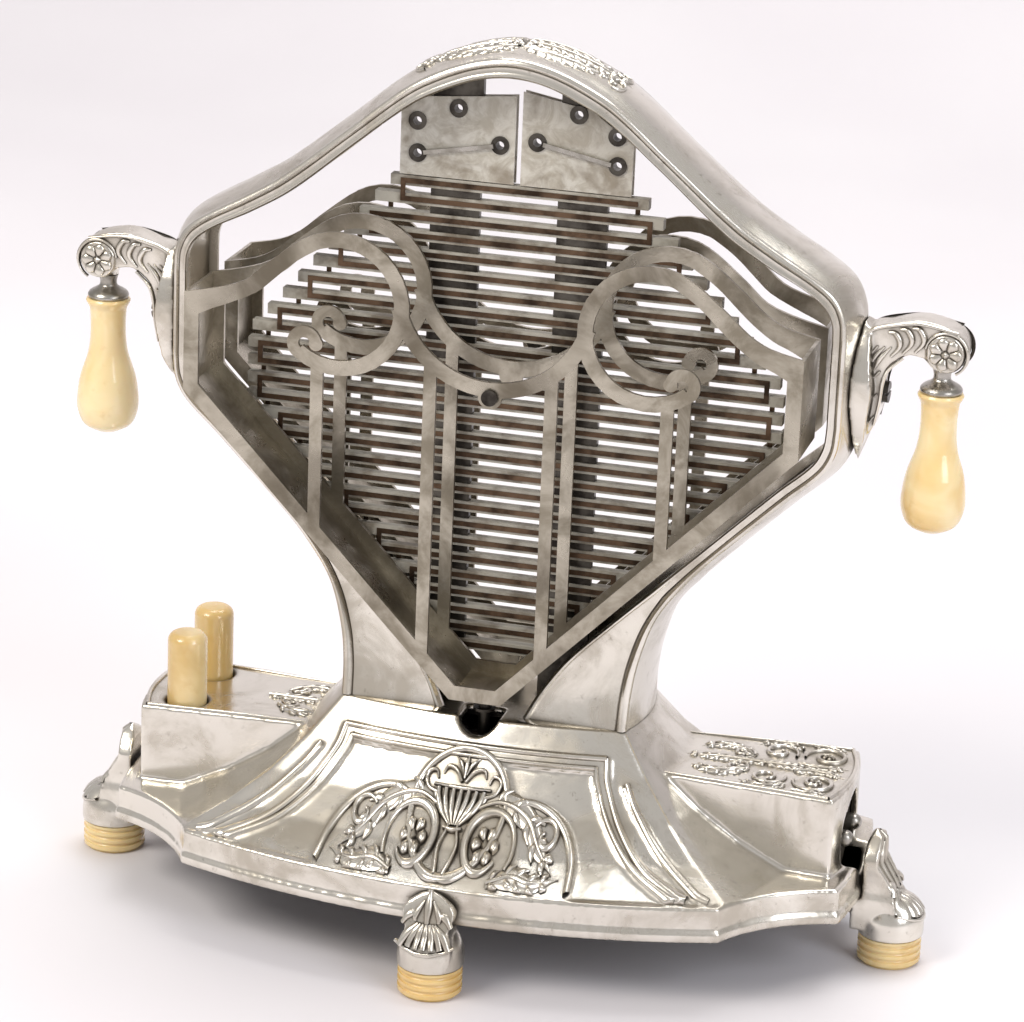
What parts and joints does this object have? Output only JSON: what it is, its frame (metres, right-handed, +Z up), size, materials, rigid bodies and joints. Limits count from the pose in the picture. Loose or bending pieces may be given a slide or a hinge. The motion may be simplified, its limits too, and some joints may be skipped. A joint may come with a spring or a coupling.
{
  "type": "toaster",
  "caption": "Nickel plated table toaster with two drop side bread baskets in a diamond shaped frame, ivory push buttons, drop handles and feet",
  "frame": {"origin": "on the table, below the middle of the toaster", "axes": "+X towards the inlet, -X towards the push buttons, -Y towards the front, +Z up"},
  "size_m": [0.2602, 0.1488, 0.2576],
  "materials": {
    "nickel_plate": "aged, slightly dull nickel plate with tarnish",
    "dark_steel": "dark heat stained steel",
    "bright_steel": "plain bright steel",
    "ivory_plastic": "glossy aged ivory moulding",
    "mica": "cloudy mica sheet",
    "slat_mica": "pale pressed mica strips",
    "ribbon_wire": "oxidised resistance ribbon",
    "grille_steel": "worn nickel on steel strip",
    "ceramic": "unglazed ceramic"
  },
  "bodies": {
    "body": {"base_shell": "nickel_plate", "bottom_plate": "dark_steel", "bottom_screws": "dark_steel", "toe_front": "nickel_plate", "toe_rear": "nickel_plate", "toe_left": "nickel_plate", "toe_right": "nickel_plate", "foot_front": "ivory_plastic", "foot_rear": "ivory_plastic", "foot_left": "ivory_plastic", "foot_right": "ivory_plastic", "foot_screws": "dark_steel", "frame_shell": "nickel_plate", "handle_bracket_left": "nickel_plate", "handle_bracket_right": "nickel_plate", "handle_screws": "dark_steel", "handle_neck_left": "dark_steel", "handle_neck_right": "dark_steel", "handle_grip_left": "ivory_plastic", "handle_grip_right": "ivory_plastic", "heater_posts": "dark_steel", "heater_slats": "slat_mica", "heater_ribbon_front": "ribbon_wire", "heater_ribbon_rear": "ribbon_wire", "heater_mica_front": "mica", "heater_mica_rear": "mica", "heater_eyelets": "dark_steel", "heater_links": "dark_steel", "inlet_block": "ceramic", "inlet_pins": "bright_steel", "pivot_bracket_front": "dark_steel", "pivot_bracket_rear": "dark_steel", "pivot_pin_front": "bright_steel", "pivot_pin_rear": "bright_steel", "lever_bracket": "dark_steel", "lever_pin": "bright_steel", "button_guide": "dark_steel", "button_spring_front": "bright_steel", "button_spring_rear": "bright_steel"},
    "button_front": {"button_cap_front": "ivory_plastic", "plunger_front": "dark_steel"},
    "button_rear": {"button_cap_rear": "ivory_plastic", "plunger_rear": "dark_steel"},
    "lever_front_body": {"lever_front": "dark_steel"},
    "lever_rear_body": {"lever_rear": "dark_steel"},
    "basket_front": {"carrier_front": "dark_steel", "spindle_spring_front": "bright_steel", "tray_front": "grille_steel", "grille_outer_front": "grille_steel", "grille_inner_front": "grille_steel", "grille_rivet_front": "grille_steel"},
    "basket_rear": {"carrier_rear": "dark_steel", "spindle_spring_rear": "bright_steel", "tray_rear": "grille_steel", "grille_outer_rear": "grille_steel", "grille_inner_rear": "grille_steel", "grille_rivet_rear": "grille_steel"}
  },
  "joints": [
    {"name": "basket_front_tilt", "type": "hinge", "parent": "body", "child": "basket_front", "pos_m": [0, -0.017, 0.056], "axis": [1, 0, 0], "range_deg": [0, 32], "stiffness_Nm_per_rad": 0.15, "springref_deg": -11.46},
    {"name": "lever_front_tilt", "type": "hinge", "parent": "body", "child": "lever_front_body", "pos_m": [-0.037, -0.0116, 0.0455], "axis": [0, -1, 0], "range_deg": [0, 9.88]},
    {"name": "button_front_slide", "type": "slide", "parent": "body", "child": "button_front", "axis": [0, 0, -1], "range_m": [0, 0.0092], "stiffness_N_per_m": 60, "springref_m": -0.003, "deforming": ["button_spring_front"]},
    {"name": "basket_rear_tilt", "type": "hinge", "parent": "body", "child": "basket_rear", "pos_m": [0, 0.017, 0.056], "axis": [-1, 0, 0], "range_deg": [0, 32], "stiffness_Nm_per_rad": 0.15, "springref_deg": -11.46},
    {"name": "lever_rear_tilt", "type": "hinge", "parent": "body", "child": "lever_rear_body", "pos_m": [-0.037, 0.0116, 0.0455], "axis": [0, -1, 0], "range_deg": [0, 9.88]},
    {"name": "button_rear_slide", "type": "slide", "parent": "body", "child": "button_rear", "axis": [0, 0, -1], "range_m": [0, 0.0092], "stiffness_N_per_m": 60, "springref_m": -0.003, "deforming": ["button_spring_rear"]}
  ],
  "couplings": [
    {"joint": "lever_front_tilt", "follows": "basket_front_tilt", "ratio": 0.3084},
    {"joint": "button_front_slide", "follows": "basket_front_tilt", "m_per_rad": 0.01645},
    {"joint": "lever_rear_tilt", "follows": "basket_rear_tilt", "ratio": 0.3084},
    {"joint": "button_rear_slide", "follows": "basket_rear_tilt", "m_per_rad": 0.01645}
  ]
}
